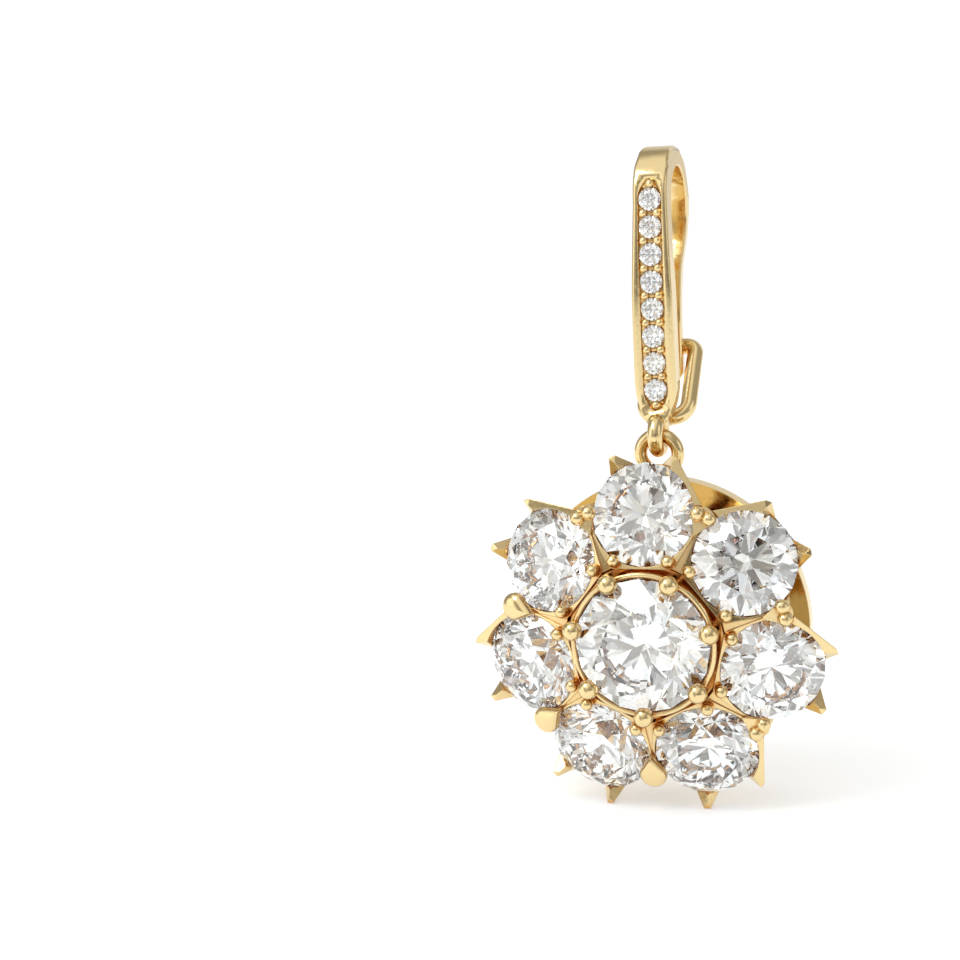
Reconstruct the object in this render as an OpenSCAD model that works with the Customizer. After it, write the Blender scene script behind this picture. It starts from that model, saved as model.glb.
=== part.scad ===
// Cluster earring: a pave set hook with a hinged loop latch, and a drop of one
// large round stone inside a ring of seven smaller ones, hanging from the hook.
// Millimetres. X is to the right, the stones face -Y and Z is up.
// The origin is the inside top of the hook's arch, where the ear lobe carries it.

/* [Hook] */
// Inside radius of the arch that goes through the lobe
arch_inner_r = 1.635; // [1.3:0.005:2.2]
// Metal thickness at the top of the arch
arch_t = 1.0; // [0.7:0.05:1.3]
// Depth of the front bar, front to back
bar_depth = 1.1; // [0.9:0.05:1.4]
// Half width of the arch at its top
arch_half_w = 0.83; // [0.6:0.01:1.0]
// Height from the arch's inside top down to the bar's neck, where it starts to widen
bar_neck_z = 3.6; // [3:0.1:4.5]
// Height from the arch's inside top down to where the bar is at its widest
bar_wide_z = 6.1; // [5.5:0.1:7]
// Half width of the front bar at its widest
bar_half_w = 1.02; // [0.85:0.01:1.2]
// Radius of the two arcs that close the bar to a point
bar_taper_r = 3.75; // [3:0.05:6]
// Thickness of the back strip
strip_t = 0.65; // [0.45:0.05:0.9]
// Half width of the back strip below the arch
strip_half_w = 0.6; // [0.4:0.05:0.7]
// Length of the back strip, from the arch's inside top to its pointed tip
strip_len = 11.05; // [10:0.05:11.8]

/* [Row of small stones] */
// Diameter of a small stone
small_d = 1.1; // [0.9:0.05:1.2]
// Distance from one small stone to the next
small_pitch = 1.307; // [1.2:0.01:1.35]
// Height of the first small stone below the arch's inside top
small_first_z = 1.39; // [1.3:0.01:1.6]
// Distance from the last small stone up to where the bar starts to taper
row_to_taper = 0.389; // [0.1:0.001:1.2]
// Distance from the last small stone down to the swing axis
row_to_swing = 2.211; // [2:0.001:2.8]
// Width of the sunk channel that holds the row
channel_w = 1.17; // [1.0:0.01:1.4]
// Depth of the channel's floor under the bar's face
channel_depth = 0.22; // [0.1:0.02:0.4]
// Radius of the grains between the small stones
grain_r = 0.21; // [0.12:0.01:0.24]

/* [Rings and latch] */
// Wire radius of the hook's lower ring
hook_ring_wire_r = 0.375; // [0.28:0.005:0.42]
// Wire radius of the drop's top ring
drop_ring_wire_r = 0.32; // [0.22:0.01:0.36]
// Radius of the drop's top ring at the middle of its wire
drop_ring_r = 0.925; // [0.8:0.005:1.1]
// Wire radius of the latch
latch_wire_r = 0.4; // [0.3:0.005:0.42]
// Half width of the latch at the middle of its wire
latch_half_w = 1.1; // [1.05:0.005:1.4]
// Radius of the latch's hinge pin
latch_pin_r = 0.2; // [0.12:0.01:0.24]
// Half width of the hinge lug on the bar
lug_half_w = 0.28; // [0.25:0.01:0.5]

/* [Drop] */
// Diameter of the centre stone
centre_d = 6.5; // [6:0.1:6.8]
// Diameter of each outer stone
outer_d = 5.0; // [4.6:0.05:5.1]
// Gap between the girdles of two neighbouring outer stones
outer_gap = 0.24; // [0.2:0.01:0.5]
// Angle that each outer stone leans outwards
outer_tilt = 20.57; // [12:0.5:26]
// Distance that the centre stone's girdle stands ahead of the outer ones
centre_ahead = 1.35; // [0.9:0.05:1.8]
// Distance that the outer stones' girdles stand ahead of the swing axis
drop_ahead = 3.55; // [3.3:0.05:4]
// Distance that the claws' tips stand out beyond an outer stone's girdle
claw_reach = 0.57; // [0.45:0.01:0.7]
// Height of the claw tips above an outer stone's girdle
claw_tip_h = 0.65; // [0.5:0.05:0.9]
// Radius of the round prongs that hold the centre stone
ball_r = 0.48; // [0.3:0.01:0.52]
// Distance that the back disc stands out beyond the circle of the outer stones' centres
disc_reach = 1.11; // [0.6:0.01:1.4]
// Thickness of the back disc
disc_t = 0.8; // [0.5:0.05:1.2]

/* [Hidden] */
$fn = 48;
gold = [0.86, 0.68, 0.34];
clear_stone = [0.88, 0.92, 0.97];

// Cut of a round stone, as shares of its diameter
table_share = 0.57;
crown_share = 0.162;
pavilion_share = 0.431;
girdle_share = 0.03;
star_share = 0.763;
lower_share = 0.24;
space_top_share = 0.66;
// Clearances: stone to seat, running fit, and a surface that rests on another
seat_gap = 0.03;
run_gap = 0.05;
rest_gap = 0.03;
over = 0.5;

// Heights down the hook that follow from the row of small stones: where the bar starts to taper,
// and the swing axis
small_count = 8;
last_small_z = small_first_z + (small_count - 1) * small_pitch;
bar_taper_z = last_small_z - row_to_taper;
swing_z = last_small_z + row_to_swing;

// Side outline of the hook
function arc(c, r, a0, a1, n) =
    [for (i = [0:n]) let (a = a0 + (a1 - a0) * i / n) c + r * [cos(a), sin(a)]];
bar_set_back = 0.43;
bar_back_y = -arch_inner_r - bar_set_back;
bar_front_y = bar_back_y - bar_depth;
bend_z = -8;
bend_r = 50;
arch_c = [0, -arch_inner_r];
bend_c = [bar_front_y + bend_r, bend_z];
bend_a = asin((arch_c[1] - bend_z) / bend_r);
// The arch ends on a slant, where the arch and the strip have one thickness
slant_a = 20;
slant_len = 0.75;
outer_arch_r = arch_inner_r
    + (bar_depth * cos(slant_a) - arch_t * sin(slant_a) + strip_t) / (1 + cos(slant_a) - sin(slant_a));
outer_arch_c = [outer_arch_r - arch_inner_r - bar_depth, arch_t - outer_arch_r];
slant_end = outer_arch_c + outer_arch_r * [cos(slant_a), sin(slant_a)] + slant_len * [sin(slant_a), -cos(slant_a)];
// The strip swells out behind the lobe, then bends back in towards the bar
swell_r = 3.3;
swell_c = slant_end - swell_r * [cos(slant_a), sin(slant_a)];
waist_r = 7;
waist_z = -8;
waist_c = [swell_c[0] + sqrt(pow(swell_r + waist_r, 2) - pow(waist_z - swell_c[1], 2)), waist_z];
waist_a = atan2(waist_z - swell_c[1], waist_c[0] - swell_c[0]);
waist_outer_y = waist_c[0] - waist_r;
tip_flare = 0.08;
strip_tip_z = -strip_len;
side_outline = concat(
    [[bar_front_y, -swing_z]],
    arc(bend_c, bend_r, 180, 180 - bend_a, 6),
    arc(outer_arch_c, outer_arch_r, 180 - bend_a, slant_a, 18),
    arc(swell_c, swell_r, slant_a, waist_a, 8),
    arc(waist_c, waist_r, 180 + waist_a, 180, 6),
    [[waist_outer_y + tip_flare, strip_tip_z]],
    [[waist_outer_y + tip_flare - strip_t, strip_tip_z]],
    arc(waist_c, waist_r + strip_t, 180, 180 + waist_a, 6),
    arc(swell_c, swell_r - strip_t, waist_a, slant_a, 8),
    arc(arch_c, arch_inner_r, slant_a, 180, 18),
    arc(bend_c, bend_r - bar_depth, 180 - bend_a, 180, 6),
    [[bar_back_y, -swing_z]]);

// Front outlines of the bar and of the strip
crest_half_w = arch_half_w - 0.2;
crest_ease = 0.06;
crest_drop = 0.3;
shoulder_z = 0.9;
neck_ease = 0.02;
neck_half_w = arch_half_w + 0.07;
strip_even_z = bar_neck_z + 1.4;
strip_point = 0.85;
crest_z = outer_arch_c[1] + outer_arch_r;
function half_outline(p) = concat(p, [for (i = [len(p) - 1:-1:0]) [-p[i][0], p[i][1]]]);
taper_c = [bar_half_w - bar_taper_r, -bar_taper_z];
taper_end_a = -acos(-taper_c[0] / bar_taper_r);
bar_outline = half_outline(concat(
    [[crest_half_w, crest_z + over], [crest_half_w, crest_z], [arch_half_w - crest_ease, crest_z - crest_drop],
     [arch_half_w, crest_z - shoulder_z], [arch_half_w, -arch_inner_r], [neck_half_w, -bar_neck_z],
     [bar_half_w - neck_ease, -bar_wide_z]],
    arc(taper_c, bar_taper_r, 0, taper_end_a + 1, 12)));
strip_outline = half_outline(
    [[crest_half_w, crest_z + over], [crest_half_w, crest_z], [arch_half_w - crest_ease, crest_z - crest_drop],
     [arch_half_w, crest_z - shoulder_z], [arch_half_w, -arch_inner_r], [strip_half_w, -strip_even_z],
     [strip_half_w, strip_tip_z + strip_point], [strip_half_w * 0.08, strip_tip_z]]);

// Places on the hook
swing_set_in = 0.33;
swing_y = bar_front_y + swing_set_in;
ring_hole_r = drop_ring_wire_r + run_gap;
hook_ring_r = ring_hole_r + hook_ring_wire_r;
lug_wall = 0.2;
lug_r = latch_pin_r + run_gap + lug_wall;
lug_behind = 1.55;
lug_above = 0.6;
lug_root_in = 0.3;
lug_root_top = 1.15;
lug_root_low = 0.35;
lug_neck = 0.97;
latch_rise = 3.15;
lug_y = swing_y + lug_behind;
lug_z = -swing_z + lug_above;
latch_top_z = lug_z + latch_rise;
strip_face_y = waist_outer_y + tip_flare * (waist_z - latch_top_z) / (waist_z - strip_tip_z);
latch_top_y = strip_face_y + latch_wire_r + rest_gap;
latch_len = sqrt(pow(latch_top_y - lug_y, 2) + pow(latch_top_z - lug_z, 2));
latch_lean = atan2(latch_top_y - lug_y, latch_top_z - lug_z);
latch_top_corner = 0.45;
latch_low_corner = latch_half_w - lug_half_w - run_gap;
pin_set_in = 0.1;
pin_half_len = lug_half_w + run_gap + pin_set_in;

// Places in the row of small stones, along the bar's bent face
small_sink = 0.12;
channel_top_over = 0.97;
channel_bottom_over = 1.03;
channel_end_share = 0.9;
channel_top_z = -small_first_z + channel_top_over;
channel_bottom_z = -last_small_z - channel_bottom_over;
grain_share = 0.26;
grain_x = small_pitch * grain_share;
end_grain_share = 0.56;

// Places in the drop, seen from the front: X right, Y up, Z towards the viewer
outer_count = 7;
outer_step = 360 / outer_count;
half_step = outer_step / 2;
outer_ring_r = (outer_d + outer_gap) / 2 / sin(half_step);
girdle_r = outer_d / 2;
disc_r = outer_ring_r + disc_reach;
disc_behind = 3.3;
disc_front = -disc_behind;
disc_back = disc_front - disc_t;
// The top ring's lower wire is sunk this far into the disc's edge
ring_sink = 0.07;
drop_len = disc_r + drop_ring_wire_r - ring_sink + 2 * drop_ring_r;
// Outer cups: base in the disc, a knee just under the girdle, claws at the corners
cup_depth = (disc_behind + disc_t / 2) / cos(outer_tilt);
cup_base_r = 1.15;
cup_knee_r = girdle_r + 0.36;
cup_knee_z = -0.35;
cup_bore_r = 0.7;
bore_behind = 1;
bore_lap = 0.05;
cup_seat_r = girdle_r - 0.4;
claw_tip_r = girdle_r + claw_reach;
claw_flat = 0.13;
// Between the claws the wall is notched down under the girdle, so each claw widens towards its foot
notch_low_z = -0.45;
notch_slope = 0.6;
claw_side_trim = 0.05;
notch_top_half_w = claw_tip_r / 2 - claw_flat * cos(30) - claw_side_trim;
// On the inner side the cup's wall ends just above the girdle, and small beads hold the stone
inner_top_z = 0.12;
inner_from_y = 0.4;
inner_bead_r = 0.31;
side_bead_r = 0.36;
claw_bead_at = girdle_r + 0.13;
claw_bead_h = 0.38;
// The side of each cup, right or left, that keeps a straight wall down from its claw
walled_sides = [1, -1, -1, -1, 0, 1, 1];
wall_end_z = 0.2;
grip = 0.05;
// Ridges between neighbouring outer stones, and the round prongs at their outer ends
ridge_t = 0.75;
ridge_in_r = outer_ring_r - 2.14;
ridge_out_r = outer_ring_r + 0.66;
ridge_low_z = -1.2;
ridge_in_z = 0.93;
ridge_out_z = 0.1;
// In each gap a drop shaped tab, its round end outwards, stands under the two cups' side beads
gap_tab_r = 0.5;
gap_tab_at = outer_ring_r + 0.5;
gap_tab_tail = 1.0;
gap_tab_low_z = -0.7;
gap_tab_top_z = 0.36;
// Centre cup, and the collar that joins it to the outer cups
centre_cup_r = centre_d / 2 + 0.16;
centre_cup_base_r = 1.5;
centre_base_z = disc_front - disc_t / 2;
centre_bore_r = 1.12;
centre_seat_r = centre_d / 2 - 0.4;
centre_seat_z = centre_ahead - 0.35;
centre_rim_wire_r = 0.13;
collar_r = outer_ring_r - 2.25;
collar_low_z = -1;
collar_top_z = 0.72;
ball_at = centre_d / 2 + 0.13;
ball_z = centre_ahead + 0.46;
ball_post_r = ball_r * 0.7;
post_low_z = centre_ahead - 0.8;
solder_r = 0.34;

// A round brilliant cut stone, its girdle in the XY plane and its table up
module brilliant(d) {
    r = d / 2;
    g = d * girdle_share / 2;
    top = g + d * crown_share;
    bottom = -g - d * pavilion_share;
    t_r = r * table_share;
    s_r = r * star_share;
    l_r = r * lower_share;
    s_z = top - (s_r * cos(22.5) - t_r) * (top - g) / (r - t_r);
    l_z = bottom + l_r * cos(22.5) * (-g - bottom) / r;
    ring = [for (i = [0:15]) [r * cos(22.5 * i), r * sin(22.5 * i)]];
    points = concat(
        [for (i = [0:7]) [t_r * cos(45 * i), t_r * sin(45 * i), top]],
        [for (i = [0:7]) [s_r * cos(45 * i + 22.5), s_r * sin(45 * i + 22.5), s_z]],
        [for (p = ring) [p[0], p[1], g]],
        [for (p = ring) [p[0], p[1], -g]],
        [for (i = [0:7]) [l_r * cos(45 * i + 22.5), l_r * sin(45 * i + 22.5), l_z]],
        [[0, 0, bottom]]);
    upper = 16;
    under = 32;
    low = 48;
    culet = 56;
    faces = concat(
        [[for (i = [7:-1:0]) i]],
        [for (i = [0:7]) [i, (i + 1) % 8, 8 + i]],
        [for (i = [0:7]) [i, 8 + i, upper + 2 * i, 8 + (i + 7) % 8]],
        [for (i = [0:7]) [8 + i, upper + 2 * i + 1, upper + 2 * i]],
        [for (i = [0:7]) [8 + i, upper + (2 * i + 2) % 16, upper + 2 * i + 1]],
        [for (i = [0:15]) [upper + i, upper + (i + 1) % 16, under + (i + 1) % 16, under + i]],
        [for (i = [0:7]) [low + i, under + 2 * i, under + 2 * i + 1]],
        [for (i = [0:7]) [low + i, under + 2 * i + 1, under + (2 * i + 2) % 16]],
        [for (i = [0:7]) [culet, low + (i + 7) % 8, under + 2 * i, low + i]]);
    polyhedron(points = points, faces = faces);
}

// The space that a stone takes in its seat, with the seat's clearance
module stone_space(d) {
    r = d / 2 + seat_gap;
    g = d * girdle_share / 2 + seat_gap;
    crown_h = d * crown_share * 1.02;
    pavilion_h = d * pavilion_share * 1.02;
    translate([0, 0, -g])
        cylinder(h = 2 * g, r = r);
    translate([0, 0, g])
        cylinder(h = crown_h, r1 = r, r2 = d / 2 * space_top_share + seat_gap);
    translate([0, 0, -g - pavilion_h])
        cylinder(h = pavilion_h, r1 = seat_gap, r2 = r);
}

// The open space in front of a stone, a little narrower than the stone
module stone_front(d) {
    cylinder(h = d, r = d / 2 - grip);
}

// Puts its children at the place of small stone i, with +Z out of the bar's face
module at_small(i) {
    z = -small_first_z - i * small_pitch;
    a = z > bend_z ? asin((z - bend_z) / bend_r) : 0;
    y = z > bend_z ? bend_c[0] - bend_r * cos(a) : bar_front_y;
    translate([0, y, z])
        rotate([90 - a, 0, 0])
            children();
}

// Puts its children at the drop's centre, with +Y up and +Z to the front
module at_drop() {
    translate([0, swing_y - drop_ahead, -swing_z - drop_len])
        rotate([90, 0, 0])
            children();
}

// Puts its children on outer stone k's girdle, with +Y outwards and +Z out of the stone's table
module at_outer(k) {
    rotate([0, 0, -outer_step * k])
        translate([0, outer_ring_r, 0])
            rotate([-outer_tilt, 0, 0])
                children();
}

// A wire ring in the XY plane
module wire_ring(r, wire_r) {
    rotate_extrude()
        translate([r, 0])
            circle(r = wire_r);
}

// A flat shape extruded both ways along X from its Y and Z outline
module side_extrude(half_w) {
    rotate([90, 0, 90])
        linear_extrude(height = 2 * half_w, center = true)
            children();
}

module hook_body() {
    front_room = outer_arch_r * 3;
    intersection() {
        side_extrude(bar_half_w + over)
            polygon(side_outline);
        union() {
            rotate([90, 0, 0])
                linear_extrude(height = front_room)
                    polygon(bar_outline);
            rotate([90, 0, 0])
                translate([0, 0, -front_room])
                    linear_extrude(height = front_room)
                        polygon(strip_outline);
        }
    }
}

// The sunk channel, as deep into the bar's face as the floor
module channel() {
    half = channel_w / 2;
    end_r = channel_w * channel_end_share;
    end_c = half - end_r;
    end_a = acos(-end_c / end_r);
    outline = concat(
        arc([end_c, channel_top_z - end_r * sin(end_a)], end_r, 0, end_a, 6),
        arc([-end_c, channel_top_z - end_r * sin(end_a)], end_r, 180 - end_a, 180, 6),
        arc([-end_c, channel_bottom_z + end_r * sin(end_a)], end_r, 180, 180 + end_a, 6),
        arc([end_c, channel_bottom_z + end_r * sin(end_a)], end_r, -end_a, 0, 6));
    intersection() {
        rotate([90, 0, 0])
            linear_extrude(height = outer_arch_r * 3)
                polygon(outline);
        side_extrude(channel_w)
            polygon(concat(
                [[bar_front_y + channel_depth, -swing_z]],
                arc(bend_c, bend_r - channel_depth, 180, 180 - asin((channel_top_z + over - bend_z) / bend_r), 8),
                [[bar_front_y - over, channel_top_z + over], [bar_front_y - over, -swing_z]]));
    }
}

// Grains raised from the channel's floor, two between each pair of stones and one at each end
module grains() {
    for (i = [0:small_count - 2])
        for (side = [-1, 1])
            at_small(i + 0.5)
                translate([side * grain_x, 0, -small_sink])
                    sphere(r = grain_r, $fn = 24);
    for (i = [-end_grain_share, small_count - 1 + end_grain_share])
        at_small(i)
            translate([0, 0, -small_sink])
                sphere(r = grain_r, $fn = 24);
}

module hinge_lug() {
    side_extrude(lug_half_w) {
        translate([lug_y, lug_z])
            circle(r = lug_r);
        polygon([[bar_back_y - lug_root_in, -swing_z + lug_root_top], [lug_y, lug_z + lug_r * lug_neck],
                 [lug_y, lug_z - lug_r * lug_neck], [bar_back_y - lug_root_in, -swing_z + lug_root_low]]);
    }
}

module hook() color(gold) {
    difference() {
        union() {
            difference() {
                hook_body();
                channel();
            }
            grains();
            hinge_lug();
        }
        for (i = [0:small_count - 1])
            at_small(i)
                translate([0, 0, -small_sink])
                    stone_space(small_d);
        translate([0, swing_y, -swing_z])
            rotate([0, 90, 0])
                cylinder(h = 3, r = ring_hole_r + run_gap, center = true);
        translate([0, lug_y, lug_z])
            rotate([0, 90, 0])
                cylinder(h = 3, r = latch_pin_r + run_gap, center = true);
    }
    translate([0, swing_y, -swing_z])
        rotate([0, 90, 0])
            wire_ring(hook_ring_r, hook_ring_wire_r);
}

// A quarter bend of the latch's wire in the XZ plane, from +X to +Z
module wire_bend(r) {
    rotate([90, 0, 0])
        rotate_extrude(angle = 90)
            translate([r, 0])
                circle(r = latch_wire_r, $fn = 32);
}

module wire_rod(len, r) {
    cylinder(h = len, r = r, $fn = 32);
}

module latch() color(gold) {
    translate([0, lug_y, lug_z])
        rotate([-latch_lean, 0, 0]) {
            for (side = [0, 1])
                mirror([side, 0, 0]) {
                    translate([latch_half_w, 0, latch_low_corner])
                        wire_rod(latch_len - latch_top_corner - latch_low_corner, latch_wire_r);
                    translate([latch_half_w - latch_top_corner, 0, latch_len - latch_top_corner])
                        wire_bend(latch_top_corner);
                    translate([latch_half_w - latch_low_corner, 0, latch_low_corner])
                        mirror([0, 0, 1])
                            wire_bend(latch_low_corner);
                }
            translate([latch_top_corner - latch_half_w, 0, latch_len])
                rotate([0, 90, 0])
                    wire_rod(2 * (latch_half_w - latch_top_corner), latch_wire_r);
            translate([-pin_half_len, 0, 0])
                rotate([0, 90, 0])
                    wire_rod(2 * pin_half_len, latch_pin_r);
        }
}

// Puts its children at each half angle between two outer stones, with +Y outwards
module at_gaps() {
    for (k = [0:outer_count - 1])
        rotate([0, 0, -outer_step * k - half_step])
            children();
}

// A six sided cup from its levels of [radius, height]; its corners are cut flat
module crown_cup(levels) {
    n = 12;
    top = (len(levels) - 1) * n;
    polyhedron(
        points = [for (l = levels, i = [0:5], s = [-1, 1])
            [l[0] * cos(60 * i) - s * claw_flat * sin(60 * i), l[0] * sin(60 * i) + s * claw_flat * cos(60 * i), l[1]]],
        faces = concat(
            [[for (i = [0:n - 1]) i], [for (i = [n - 1:-1:0]) top + i]],
            [for (j = [0:len(levels) - 2], i = [0:n - 1]) let (a = j * n, b = a + n, m = (i + 1) % n)
                [a + i, b + i, b + m, a + m]]));
}

// The space between two claws, a notch that is wider at the claws' tips, along +Y
module claw_notch() {
    low_half_w = notch_top_half_w - notch_slope * (claw_tip_h - notch_low_z);
    top_half_w = notch_top_half_w + notch_slope * over;
    rotate([90, 0, 180])
        linear_extrude(height = claw_tip_r + over)
            polygon([[-low_half_w, notch_low_z], [low_half_w, notch_low_z],
                     [top_half_w, claw_tip_h + over], [-top_half_w, claw_tip_h + over]]);
}

// Room above a straight wall that falls from the claw to the side bead
module wall_room() {
    corner = claw_tip_r / 2;
    fall = (claw_tip_h - wall_end_z) / (notch_top_half_w + corner);
    rotate([90, 0, 180])
        linear_extrude(height = claw_tip_r + over)
            polygon([[notch_top_half_w, claw_tip_h], [notch_top_half_w, claw_tip_h + over],
                     [-corner - over, claw_tip_h + over], [-corner - over, wall_end_z - fall * over]]);
}

// The outward claws stand free, and the inner side is cut low; walled tells which side keeps a wall
module outer_cup(walled) {
    difference() {
        crown_cup([[cup_base_r, -cup_depth], [cup_knee_r, cup_knee_z], [claw_tip_r, claw_tip_h]]);
        claw_notch();
        for (side = [-1, 1])
            rotate([0, 0, -60 * side])
                if (side == walled)
                    mirror([side > 0 ? 0 : 1, 0, 0])
                        wall_room();
                else
                    claw_notch();
        translate([-claw_tip_r - over, inner_from_y - 2 * claw_tip_r, inner_top_z])
            cube([2 * claw_tip_r + 2 * over, 2 * claw_tip_r, claw_tip_h]);
    }
}

module outer_hollow() {
    translate([0, 0, -cup_depth])
        cylinder(h = cup_knee_z + cup_depth, r1 = cup_bore_r, r2 = cup_seat_r);
    translate([0, 0, -cup_depth - bore_behind])
        cylinder(h = bore_behind + bore_lap, r = cup_bore_r);
}

module claw_bead(a, r) {
    rotate([0, 0, a])
        translate([claw_bead_at, 0, claw_bead_h])
            sphere(r = r, $fn = 24);
}

// The side and inner claws of an outer cup end in small beads
module claw_beads() {
    for (a = [0, 180])
        claw_bead(a, side_bead_r);
    for (a = [-60, 240])
        claw_bead(a, inner_bead_r);
}

// The wall between two neighbouring outer stones
module ridge() {
    side_extrude(ridge_t / 2)
        polygon([[ridge_in_r, ridge_low_z], [ridge_out_r, ridge_low_z], [ridge_out_r, ridge_out_z],
                 [ridge_in_r, ridge_in_z]]);
}

module gap_tab() {
    side_a = asin(gap_tab_r / gap_tab_tail);
    translate([0, gap_tab_at, 0])
        rotate([-outer_tilt, 0, 0])
            translate([0, 0, gap_tab_low_z])
                linear_extrude(height = gap_tab_top_z - gap_tab_low_z)
                    polygon(concat(arc([0, 0], gap_tab_r, -side_a, 180 + side_a, 16), [[0, -gap_tab_tail]]));
}

module centre_cup() {
    translate([0, 0, centre_base_z])
        cylinder(h = centre_ahead - centre_base_z, r1 = centre_cup_base_r, r2 = centre_cup_r);
    translate([0, 0, centre_ahead - centre_rim_wire_r / 2])
        wire_ring(centre_cup_r, centre_rim_wire_r);
    translate([0, 0, collar_low_z])
        cylinder(h = collar_top_z - collar_low_z, r = collar_r, $fn = 96);
}

module centre_hollow() {
    translate([0, 0, centre_base_z])
        cylinder(h = centre_seat_z - centre_base_z, r1 = centre_bore_r, r2 = centre_seat_r);
    translate([0, 0, disc_back - over])
        cylinder(h = disc_t + over, r = centre_bore_r);
}

// The big round prongs around the centre stone
module ball_prong() {
    translate([0, ball_at, post_low_z])
        cylinder(h = ball_z - post_low_z, r = ball_post_r);
    translate([0, ball_at, ball_z])
        sphere(r = ball_r);
}

// Disc, cups and ridges, open in front of every stone and hollow behind it
module setting_walls() {
    difference() {
        union() {
            translate([0, 0, disc_back])
                cylinder(h = disc_t, r = disc_r, $fn = 96);
            for (k = [0:outer_count - 1])
                at_outer(k)
                    outer_cup(walled_sides[k]);
            at_gaps()
                ridge();
            centre_cup();
        }
        for (k = [0:outer_count - 1])
            at_outer(k) {
                stone_front(outer_d);
                outer_hollow();
            }
        translate([0, 0, centre_ahead])
            stone_front(centre_d);
        centre_hollow();
    }
}

module setting() color(gold) {
    at_drop() {
        difference() {
            union() {
                setting_walls();
                for (k = [0:outer_count - 1])
                    at_outer(k)
                        claw_beads();
                at_gaps() {
                    gap_tab();
                    ball_prong();
                }
            }
            for (k = [0:outer_count - 1])
                at_outer(k)
                    stone_space(outer_d);
            translate([0, 0, centre_ahead])
                stone_space(centre_d);
        }
        translate([0, drop_len - drop_ring_r, -drop_ahead])
            wire_ring(drop_ring_r, drop_ring_wire_r);
        translate([0, disc_r - drop_ring_wire_r, disc_front - solder_r])
            rotate([-90, 0, 0])
                cylinder(h = drop_ring_wire_r * 2, r = solder_r);
    }
}

module centre_stone() color(clear_stone) {
    at_drop()
        translate([0, 0, centre_ahead])
            brilliant(centre_d);
}

module outer_stone(k) color(clear_stone) {
    at_drop()
        at_outer(k)
            brilliant(outer_d);
}

module bar_stone(i) color(clear_stone) {
    at_small(i)
        translate([0, 0, -small_sink])
            brilliant(small_d);
}

hook();
latch();
setting();
centre_stone();
outer_stone(0);  // outer_stone_1
outer_stone(1);  // outer_stone_2
outer_stone(2);  // outer_stone_3
outer_stone(3);  // outer_stone_4
outer_stone(4);  // outer_stone_5
outer_stone(5);  // outer_stone_6
outer_stone(6);  // outer_stone_7
bar_stone(0);  // bar_stone_1
bar_stone(1);  // bar_stone_2
bar_stone(2);  // bar_stone_3
bar_stone(3);  // bar_stone_4
bar_stone(4);  // bar_stone_5
bar_stone(5);  // bar_stone_6
bar_stone(6);  // bar_stone_7
bar_stone(7);  // bar_stone_8
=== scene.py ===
"""A cluster drop earring in polished yellow gold with clear round brilliants, hanging free over a
pale floor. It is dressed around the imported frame. Blender works in metres: the lengths below are
millimetres and the angles degrees."""

import math

import bmesh
import bpy
from mathutils import Matrix, Vector


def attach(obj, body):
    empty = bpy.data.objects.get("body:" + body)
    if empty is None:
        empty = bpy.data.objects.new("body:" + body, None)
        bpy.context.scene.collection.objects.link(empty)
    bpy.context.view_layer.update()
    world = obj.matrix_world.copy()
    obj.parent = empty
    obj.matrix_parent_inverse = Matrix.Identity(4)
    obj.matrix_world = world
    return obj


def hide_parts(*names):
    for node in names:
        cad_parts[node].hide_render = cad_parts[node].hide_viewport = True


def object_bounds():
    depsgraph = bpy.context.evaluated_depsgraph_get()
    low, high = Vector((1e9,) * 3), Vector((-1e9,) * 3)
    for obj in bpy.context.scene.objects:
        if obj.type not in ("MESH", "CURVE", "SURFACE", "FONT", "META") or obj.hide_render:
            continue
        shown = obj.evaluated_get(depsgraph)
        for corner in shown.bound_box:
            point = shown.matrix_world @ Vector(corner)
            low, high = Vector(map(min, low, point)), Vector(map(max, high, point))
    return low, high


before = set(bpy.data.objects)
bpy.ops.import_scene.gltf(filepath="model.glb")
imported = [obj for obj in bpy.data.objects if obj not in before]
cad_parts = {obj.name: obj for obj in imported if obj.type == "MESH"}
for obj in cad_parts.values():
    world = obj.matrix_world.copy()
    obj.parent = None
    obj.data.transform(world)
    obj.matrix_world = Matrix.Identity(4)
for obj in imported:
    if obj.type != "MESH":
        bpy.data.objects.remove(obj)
cad_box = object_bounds()

MM = 0.001

# Camera. It sees the drop's centre so far to its right, ahead of it and above it
IMAGE_PX = 960
FOCAL_PX = 1970.5
SENSOR_WIDTH = 36.0
CAMERA_PITCH = 10.69
CAMERA_YAW = -19.06
CAMERA_ROLL = -3.44
DROP_FROM_CAMERA = (8.098, 94.175, -7.554)
DROP_CENTRE = (0.0, -6.385, -22.0)
CAMERA_NEAR = 1.0
CAMERA_FAR = 10000.0

# Gold: its polish wavers between two roughnesses, and painted shade makes it a deeper, more orange gold
# in its recesses
GOLD = (0.84, 0.66, 0.345)
# Painted shade colours for the recesses of the hook and latch, and of the setting
HOOK_PAINTED_SHADE = (0.76, 0.47, 0.16)
SETTING_PAINTED_SHADE = (0.6, 0.29, 0.08)
GOLD_ROUGHNESS = (0.1, 0.2)
POLISHED_EDGE = 0.07
EDGE_SAMPLES = 4
POLISH_PER_MM = 6.0
POLISH_DETAIL = 3.0
POLISH_SPREAD = (0.35, 0.65)
MARK_STRENGTH = 0.03
MARK_DEPTH = 0.02
# Reach, samples and narrow-to-open range of the ambient occlusion that places the painted recess shade
RECESS_REACH = 0.9
RECESS_SAMPLES = 4
RECESS_OPENNESS = (0.2, 0.9)

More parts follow.
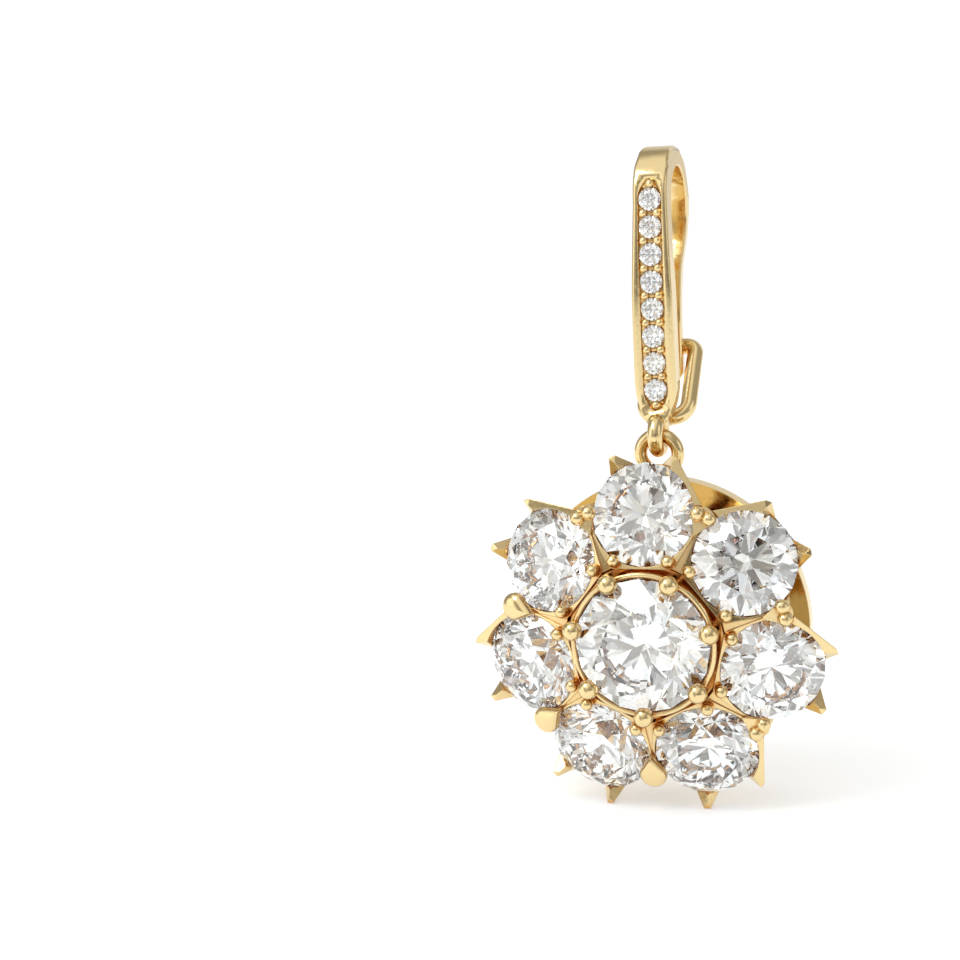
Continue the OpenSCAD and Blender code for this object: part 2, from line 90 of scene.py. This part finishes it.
# Rounding of the hook's long edges. The point inside its bow tells inner edges from outer ones. The
# FROM values keep clear of the stones' seats, the strip's tip and the bar's low end. A facing is
# how far a face looks sideways, from 0 to 1
OUTER_ROUND = 0.17
INNER_ROUND = 0.08
ROUND_STEPS = 4
ROUND_PROFILE = 0.5
WELD_WITHIN = 0.0005
FLAT_ANGLE = 0.5
BOW_CENTRE_Y = -0.8
BOW_CENTRE_Z = -1.635
ROUND_FROM_X = 0.5
FLAT_FROM_X = 0.592
ROUND_FROM_Z = -11.7
SIDE_FACING = 0.95
EDGE_FACING = 0.3
SMOOTH_ANGLE = 32

# Drop shaped beads in the gaps between outer stones, counted clockwise from the top stone on: the
# bottom, lower left and left gaps have one. Their heights are above the stones' girdles
GAP_COUNT = 7
BEAD_GAPS = (4, 5, 6)
STONE_TILT = 20.57
BEAD_AT = 6.57
BEAD_HALF_W = 0.67
BEAD_TAIL = 1.15
BEAD_LOW = 0.3
BEAD_SHOULDER = 0.4
BEAD_TOP = 0.8
BEAD_BULGE = 2.2
BEAD_ROUND_POINTS = 24
BEAD_TAIL_POINTS = 6
BEAD_LEVELS = 8

# Stones
STONE_IOR = 2.42
STONE_TINTS = ((0.98, 0.99, 0.95), (0.92, 0.965, 1.0))
TINT_PER_MM = 0.8
TINT_DETAIL = 0.0
TINT_SPREAD = (0.4, 0.6)

# Studio. A panel or dark part has its direction, wide and narrow angles, and strength
FLOOR_GAP = 0.06
FLOOR_SIZE = 900.0
FLOOR_PAINT = 0.93
FLOOR_ROUGHNESS = 0.7
FLOOR_GLOW = 0.41
FLOOR_GLOW_TINT = (0.91, 0.955, 1.0, 1)
BACKDROP_LIGHT = 1.05
BACKDROP_TINT = (1, 1, 1, 1)
KEY_PLACE = (-60, -70, 90)
KEY_SIZE = 60
KEY_WATTS = 0.05
ROOM_LIGHT = 0.4
ROOM_TINT = (1.0, 0.97, 0.92, 1)
PANEL_TINT = (1, 1, 1, 1)
PANELS = (
    ((-0.15, -0.35, 1.0), 48, 25, 0.6),
    ((-1.0, -0.55, 0.25), 28, 16, 1.0),
    ((1.0, -0.15, 0.3), 22, 11, 0.7),
    ((0.2, 1.0, 0.35), 40, 20, 0.4),
    ((0.0, -1.0, 0.5), 26, 12, 0.3))
DARKS = (
    ((0.3, -1.0, 0.12), 12, 6, 0.7),
    ((-0.35, -1.0, -0.35), 18, 9, 0.45),
    ((0.9, -1.0, -0.1), 16, 8, 0.45))

# How often light is followed: in all, off shiny faces, and through the stones
MAX_BOUNCES = 24
GLOSSY_BOUNCES = 16
STONE_BOUNCES = 24


def camera():
    """The camera as the photograph's view gives it: turned, pitched and rolled about the drop."""
    yaw = Matrix.Rotation(math.radians(CAMERA_YAW), 3, "Z")
    pitch = Matrix.Rotation(math.radians(CAMERA_PITCH), 3, "X")
    roll = Matrix.Rotation(math.radians(CAMERA_ROLL), 3, "Y")
    turn = roll @ pitch @ yaw
    place = Vector(DROP_CENTRE) - turn.transposed() @ Vector(DROP_FROM_CAMERA)
    right, ahead, up = turn[0], turn[1], turn[2]
    axes = Matrix((right, up, -Vector(ahead))).transposed().to_4x4()
    data = bpy.data.cameras.new("camera")
    data.sensor_width = SENSOR_WIDTH
    data.lens = FOCAL_PX / IMAGE_PX * SENSOR_WIDTH
    data.clip_start = CAMERA_NEAR * MM
    data.clip_end = CAMERA_FAR * MM
    cam = bpy.data.objects.new("camera", data)
    cam.matrix_world = Matrix.Translation(place * MM) @ axes
    bpy.context.collection.objects.link(cam)
    bpy.context.scene.camera = cam


def new_group(name, outputs):
    """An empty node group with the named outputs, and its output node."""
    group = bpy.data.node_groups.new(name, "ShaderNodeTree")
    for socket, kind in outputs:
        group.interface.new_socket(socket, in_out="OUTPUT", socket_type=kind)
    return group, group.nodes.new("NodeGroupOutput")


def object_noise(tree, per_mm, detail):
    place = tree.nodes.new("ShaderNodeTexCoord")
    noise = tree.nodes.new("ShaderNodeTexNoise")
    noise.inputs["Scale"].default_value = per_mm / MM
    noise.inputs["Detail"].default_value = detail
    tree.links.new(place.outputs["Object"], noise.inputs["Vector"])
    return noise


def map_range(tree, source, low, high, to_low, to_high):
    node = tree.nodes.new("ShaderNodeMapRange")
    node.interpolation_type = "SMOOTHSTEP"
    ends = {"From Min": low, "From Max": high, "To Min": to_low, "To Max": to_high}
    for socket, value in ends.items():
        node.inputs[socket].default_value = value
    tree.links.new(source, node.inputs["Value"])
    return node.outputs["Result"]


def hand_polish_group():
    """Fine polishing marks: a roughness that wavers, on edges that the polish has rounded."""
    outputs = (("Roughness", "NodeSocketFloat"), ("Normal", "NodeSocketVector"))
    group, out = new_group("hand_polish", outputs)
    noise = object_noise(group, POLISH_PER_MM, POLISH_DETAIL)
    rough = map_range(group, noise.outputs[0], *POLISH_SPREAD, *GOLD_ROUGHNESS)
    group.links.new(rough, out.inputs["Roughness"])
    edge = group.nodes.new("ShaderNodeBevel")
    edge.samples = EDGE_SAMPLES
    edge.inputs["Radius"].default_value = POLISHED_EDGE * MM
    marks = group.nodes.new("ShaderNodeBump")
    marks.inputs["Strength"].default_value = MARK_STRENGTH
    marks.inputs["Distance"].default_value = MARK_DEPTH * MM
    group.links.new(noise.outputs[0], marks.inputs["Height"])
    group.links.new(edge.outputs["Normal"], marks.inputs["Normal"])
    group.links.new(marks.outputs["Normal"], out.inputs["Normal"])
    return group


def recess_shade_group():
    """A painted shade mask: 1 in the narrow places between claws, cups and stones, where shade falls.
    """
    group, out = new_group("recess_shade", (("Mask", "NodeSocketFloat"),))
    shade = group.nodes.new("ShaderNodeAmbientOcclusion")
    shade.samples = RECESS_SAMPLES
    shade.inputs["Distance"].default_value = RECESS_REACH * MM
    narrow = map_range(group, shade.outputs["AO"], *RECESS_OPENNESS, 1.0, 0.0)
    group.links.new(narrow, out.inputs["Mask"])
    return group


def new_material(name):
    mat = bpy.data.materials.new(name)
    mat.use_nodes = True
    tree = mat.node_tree
    return mat, tree, tree.nodes["Principled BSDF"]


def add_group(tree, group):
    node = tree.nodes.new("ShaderNodeGroup")
    node.node_tree = group
    return node


def mix_colour(tree, mask, first, second):
    node = tree.nodes.new("ShaderNodeMix")
    node.data_type = "RGBA"
    node.inputs["A"].default_value = (*first, 1)
    node.inputs["B"].default_value = (*second, 1)
    tree.links.new(mask, node.inputs["Factor"])
    return node.outputs["Result"]


def gold_material(name, polish, recess_shade, painted_shade_gold):
    mat, tree, shader = new_material(name)
    shader.inputs["Metallic"].default_value = 1.0
    finish = add_group(tree, polish)
    shade_mask = add_group(tree, recess_shade)
    # Painted shade: the recess mask mixes the gold towards its darker shade colour in hollows and
    # creases
    colour = mix_colour(tree, shade_mask.outputs["Mask"], GOLD, painted_shade_gold)
    tree.links.new(colour, shader.inputs["Base Color"])
    tree.links.new(finish.outputs["Roughness"], shader.inputs["Roughness"])
    tree.links.new(finish.outputs["Normal"], shader.inputs["Normal"])
    return mat


def stone_material():
    """Clear stone: its facets carry a trace of warm or cool tint, as the fire of a brilliant does."""
    mat, tree, shader = new_material("clear_brilliant")
    shader.inputs["Roughness"].default_value = 0.0
    shader.inputs["IOR"].default_value = STONE_IOR
    shader.inputs["Transmission Weight"].default_value = 1.0
    noise = object_noise(tree, TINT_PER_MM, TINT_DETAIL)
    warm, cool = STONE_TINTS
    tint = map_range(tree, noise.outputs[0], *TINT_SPREAD, 0.0, 1.0)
    tree.links.new(mix_colour(tree, tint, warm, cool), shader.inputs["Base Color"])
    return mat


def is_long_edge(edge, inner):
    """True where a flat side of the hook meets its outer face, or its inner face for an inner edge."""
    if len(edge.link_faces) != 2:
        return False
    middle = (edge.verts[0].co + edge.verts[1].co) / 2
    if abs(middle.x) < ROUND_FROM_X * MM or middle.z < ROUND_FROM_Z * MM:
        return False
    faces = sorted(edge.link_faces, key=lambda face: face.normal.x * math.copysign(1, middle.x))
    across, side = faces[0].normal, faces[1].normal
    if abs(across.x) > EDGE_FACING or abs(side.x) < SIDE_FACING or side.x * middle.x < 0:
        return False
    centre = Vector((middle.x, BOW_CENTRE_Y * MM, min(middle.z, BOW_CENTRE_Z * MM)))
    return (across.dot(middle - centre) < 0) == inner


def rounded_hook(gold):
    """The hook with its long edges rounded by polishing."""
    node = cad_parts["hook"]
    shape = bmesh.new()
    shape.from_mesh(node.data)
    bmesh.ops.transform(shape, matrix=node.matrix_world, verts=shape.verts)
    bmesh.ops.remove_doubles(shape, verts=shape.verts, dist=WELD_WITHIN * MM)
    outer = [vert for vert in shape.verts if abs(vert.co.x) > FLAT_FROM_X * MM]
    flat = [edge for edge in shape.edges
            if all(abs(vert.co.x) > FLAT_FROM_X * MM for vert in edge.verts)]
    bmesh.ops.dissolve_limit(shape, angle_limit=math.radians(FLAT_ANGLE), verts=outer, edges=flat)
    for inner, width in ((False, OUTER_ROUND), (True, INNER_ROUND)):
        edges = [edge for edge in shape.edges if is_long_edge(edge, inner)]
        bmesh.ops.bevel(shape, geom=edges, offset=width * MM, offset_type="OFFSET",
                        segments=ROUND_STEPS, profile=ROUND_PROFILE, affect="EDGES",
                        clamp_overlap=False)
    mesh = bpy.data.meshes.new("rounded_hook")
    shape.to_mesh(mesh)
    shape.free()
    mesh.shade_smooth()
    mesh.set_sharp_from_angle(angle=math.radians(SMOOTH_ANGLE))
    mesh.materials.append(gold)
    obj = bpy.data.objects.new("rounded_hook", mesh)
    bpy.context.collection.objects.link(obj)
    flat_shading = obj.modifiers.new("flat_shading", "WEIGHTED_NORMAL")
    flat_shading.keep_sharp = True
    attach(obj, "hook")
    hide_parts("hook")


def drop_outline():
    """The bead's outline as (across, outward): its round end outwards and its point inwards."""
    side = math.asin(BEAD_HALF_W / BEAD_TAIL)
    turns = [(math.pi + 2 * side) * i / BEAD_ROUND_POINTS - side
             for i in range(BEAD_ROUND_POINTS + 1)]
    round_end = [BEAD_HALF_W * Vector((math.cos(turn), math.sin(turn))) for turn in turns]
    point = Vector((0, -BEAD_TAIL))
    steps = [i / BEAD_TAIL_POINTS for i in range(1, BEAD_TAIL_POINTS + 1)]
    inwards = [round_end[-1].lerp(point, step) for step in steps]
    outwards = [point.lerp(round_end[0], step) for step in steps[:-1]]
    return round_end + inwards + outwards


def bead_mesh(gold):
    """A domed bead over the drop outline, its side straight up to the shoulder."""
    outline = drop_outline()
    count = len(outline)
    rise = [math.sin(math.pi / 2 * i / BEAD_LEVELS) for i in range(BEAD_LEVELS)]
    levels = [(BEAD_LOW, 1.0)]
    for share in rise:
        height = BEAD_SHOULDER + (BEAD_TOP - BEAD_SHOULDER) * share
        levels.append((height, (1 - share ** BEAD_BULGE) ** (1 / BEAD_BULGE)))
    verts = [Vector((point.x * scale, point.y * scale, height)) * MM
             for height, scale in levels for point in outline]
    verts.append(Vector((0, 0, BEAD_TOP)) * MM)
    faces = [tuple(reversed(range(count)))]
    for level in range(len(levels) - 1):
        for i in range(count):
            low, after = level * count + i, level * count + (i + 1) % count
            faces.append((low, after, after + count, low + count))
    last = (len(levels) - 1) * count
    faces += [(last + i, last + (i + 1) % count, len(verts) - 1) for i in range(count)]
    mesh = bpy.data.meshes.new("gap_bead")
    mesh.from_pydata(verts, [], faces)
    mesh.shade_smooth()
    mesh.set_sharp_from_angle(angle=math.radians(SMOOTH_ANGLE))
    mesh.materials.append(gold)
    return mesh


def gap_beads(gold):
    """One drop shaped bead in each of the gaps that have one."""
    mesh = bead_mesh(gold)
    drop = Matrix.Translation(Vector(DROP_CENTRE) * MM) @ Matrix.Rotation(math.radians(90), 4, "X")
    lean = Matrix.Translation((0, BEAD_AT * MM, 0)) @ Matrix.Rotation(math.radians(-STONE_TILT), 4, "X")
    for gap in BEAD_GAPS:
        turn = Matrix.Rotation(-2 * math.pi * (gap - 0.5) / GAP_COUNT, 4, "Z")
        obj = bpy.data.objects.new(f"gap_bead_{gap}", mesh)
        obj.matrix_world = drop @ turn @ lean
        bpy.context.collection.objects.link(obj)
        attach(obj, "drop")


def dress_nodes():
    recess_shade = recess_shade_group()
    polish = hand_polish_group()
    hook_gold = gold_material("hook_gold", polish, recess_shade, HOOK_PAINTED_SHADE)
    cup_gold = gold_material("setting_gold", polish, recess_shade, SETTING_PAINTED_SHADE)
    stone = stone_material()
    wear = {"hook": hook_gold, "latch": hook_gold, "setting": cup_gold}
    for name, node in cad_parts.items():
        node.data.materials.clear()
        node.data.materials.append(wear.get(name, stone))
    rounded_hook(hook_gold)
    gap_beads(cup_gold)


def floor():
    low = cad_box[0][2] - FLOOR_GAP * MM
    half = FLOOR_SIZE * MM / 2
    mesh = bpy.data.meshes.new("floor")
    corners = [(-half, -half, low), (half, -half, low), (half, half, low), (-half, half, low)]
    mesh.from_pydata(corners, [], [(0, 1, 2, 3)])
    obj = bpy.data.objects.new("floor", mesh)
    bpy.context.collection.objects.link(obj)
    mat, tree, shader = new_material("pale_floor")
    shader.inputs["Base Color"].default_value = (FLOOR_PAINT, FLOOR_PAINT, FLOOR_PAINT, 1)
    shader.inputs["Roughness"].default_value = FLOOR_ROUGHNESS
    shader.inputs["Emission Color"].default_value = FLOOR_GLOW_TINT
    shader.inputs["Emission Strength"].default_value = FLOOR_GLOW
    mesh.materials.append(mat)


def math_node(tree, operation, first, second):
    """A sum or product of two sockets; the first may be a plain number instead."""
    node = tree.nodes.new("ShaderNodeMath")
    node.operation = operation
    if isinstance(first, float):
        node.inputs[0].default_value = first
    else:
        tree.links.new(first, node.inputs[0])
    tree.links.new(second, node.inputs[1])
    return node.outputs[0]


def light_patch(tree, place, toward, wide, narrow, start, end):
    """A round soft patch: start outside the wide angle and end inside the narrow one."""
    dot = tree.nodes.new("ShaderNodeVectorMath")
    dot.operation = "DOT_PRODUCT"
    dot.inputs[1].default_value = Vector(toward).normalized()
    tree.links.new(place.outputs["Generated"], dot.inputs[0])
    wide_cos, narrow_cos = math.cos(math.radians(wide)), math.cos(math.radians(narrow))
    return map_range(tree, dot.outputs["Value"], wide_cos, narrow_cos, start, end)


def studio_room(tree):
    """The room by direction: white panels on every side and above, in a warm room with dark parts."""
    place = tree.nodes.new("ShaderNodeTexCoord")
    white = 0.0
    for toward, wide, narrow, light in PANELS:
        patch = light_patch(tree, place, toward, wide, narrow, 0.0, light)
        white = math_node(tree, "ADD", white, patch)
    warm = ROOM_LIGHT
    for toward, wide, narrow, dark in DARKS:
        patch = light_patch(tree, place, toward, wide, narrow, 1.0, 1.0 - dark)
        warm = math_node(tree, "MULTIPLY", warm, patch)
    both = tree.nodes.new("ShaderNodeAddShader")
    for slot, tint, strength in ((0, PANEL_TINT, white), (1, ROOM_TINT, warm)):
        part = tree.nodes.new("ShaderNodeBackground")
        part.inputs["Color"].default_value = tint
        tree.links.new(strength, part.inputs["Strength"])
        tree.links.new(part.outputs[0], both.inputs[slot])
    return both.outputs[0]


def lights():
    world = bpy.data.worlds.new("studio")
    bpy.context.scene.world = world
    world.use_nodes = True
    tree = world.node_tree
    out = tree.nodes["World Output"]
    seen = tree.nodes["Background"]
    seen.inputs["Color"].default_value = BACKDROP_TINT
    seen.inputs["Strength"].default_value = BACKDROP_LIGHT
    path = tree.nodes.new("ShaderNodeLightPath")
    mix = tree.nodes.new("ShaderNodeMixShader")
    tree.links.new(path.outputs["Is Camera Ray"], mix.inputs["Fac"])
    tree.links.new(studio_room(tree), mix.inputs[1])
    tree.links.new(seen.outputs[0], mix.inputs[2])
    tree.links.new(mix.outputs[0], out.inputs["Surface"])
    data = bpy.data.lights.new("key", "AREA")
    data.size = KEY_SIZE * MM
    data.energy = KEY_WATTS
    lamp = bpy.data.objects.new("key", data)
    lamp.location = Vector(KEY_PLACE) * MM
    aim = Vector(DROP_CENTRE) * MM - lamp.location
    lamp.rotation_euler = aim.to_track_quat("-Z", "Y").to_euler()
    bpy.context.collection.objects.link(lamp)


bpy.context.scene.view_settings.view_transform = "Standard"
bpy.context.scene.cycles.max_bounces = MAX_BOUNCES
bpy.context.scene.cycles.glossy_bounces = GLOSSY_BOUNCES
bpy.context.scene.cycles.transmission_bounces = STONE_BOUNCES
camera()
dress_nodes()
floor()
lights()
